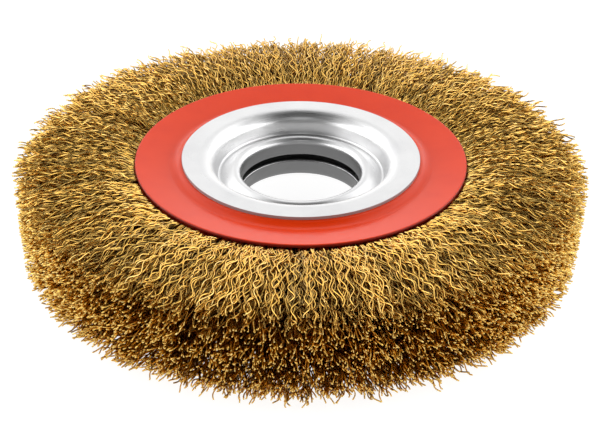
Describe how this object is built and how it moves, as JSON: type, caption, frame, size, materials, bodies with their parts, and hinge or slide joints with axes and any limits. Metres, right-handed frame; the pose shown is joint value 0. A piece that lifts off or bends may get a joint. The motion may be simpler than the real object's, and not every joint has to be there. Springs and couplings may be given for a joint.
{
  "type": "wire wheel brush",
  "caption": "Round wheel brush of crimped brass-coated wire between red side plates, with a plated hub and a plain bore, for cleaning metal on a bench grinder.",
  "frame": {"origin": "centre of the bore, halfway between the two clamping faces", "axes": "+Z along the bore's axis, the wheel lying flat; X and Y across the wheel"},
  "size_m": [0.15, 0.15, 0.027],
  "materials": {
    "zinc_plate": "bright zinc plating",
    "red_paint": "glossy red paint",
    "brass_wire": "brass-coated crimped steel wire",
    "core_steel": "plain steel, hidden inside"
  },
  "bodies": {
    "root": {"upper_hub_flange": "zinc_plate", "lower_hub_flange": "zinc_plate", "hub_spacer_ring": "core_steel", "upper_side_plate": "red_paint", "lower_side_plate": "red_paint", "retaining_ring": "core_steel", "wire_bundle_01": "brass_wire", "wire_bundle_02": "brass_wire", "wire_bundle_03": "brass_wire", "wire_bundle_04": "brass_wire", "wire_bundle_05": "brass_wire", "wire_bundle_06": "brass_wire", "wire_bundle_07": "brass_wire", "wire_bundle_08": "brass_wire", "wire_bundle_09": "brass_wire", "wire_bundle_10": "brass_wire", "wire_bundle_11": "brass_wire", "wire_bundle_12": "brass_wire", "wire_bundle_13": "brass_wire", "wire_bundle_14": "brass_wire", "wire_bundle_15": "brass_wire", "wire_bundle_16": "brass_wire", "wire_bundle_17": "brass_wire", "wire_bundle_18": "brass_wire", "wire_bundle_19": "brass_wire", "wire_bundle_20": "brass_wire", "wire_bundle_21": "brass_wire", "wire_bundle_22": "brass_wire", "wire_bundle_23": "brass_wire", "wire_bundle_24": "brass_wire", "wire_bundle_25": "brass_wire", "wire_bundle_26": "brass_wire", "wire_bundle_27": "brass_wire", "wire_bundle_28": "brass_wire", "wire_bundle_29": "brass_wire", "wire_bundle_30": "brass_wire", "wire_bundle_31": "brass_wire", "wire_bundle_32": "brass_wire", "wire_bundle_33": "brass_wire", "wire_bundle_34": "brass_wire", "wire_bundle_35": "brass_wire", "wire_bundle_36": "brass_wire", "wire_bundle_37": "brass_wire", "wire_bundle_38": "brass_wire", "wire_bundle_39": "brass_wire", "wire_bundle_40": "brass_wire", "wire_bundle_41": "brass_wire", "wire_bundle_42": "brass_wire", "wire_bundle_43": "brass_wire", "wire_bundle_44": "brass_wire", "wire_bundle_45": "brass_wire", "wire_bundle_46": "brass_wire", "wire_bundle_47": "brass_wire", "wire_bundle_48": "brass_wire"}
  },
  "joints": []
}
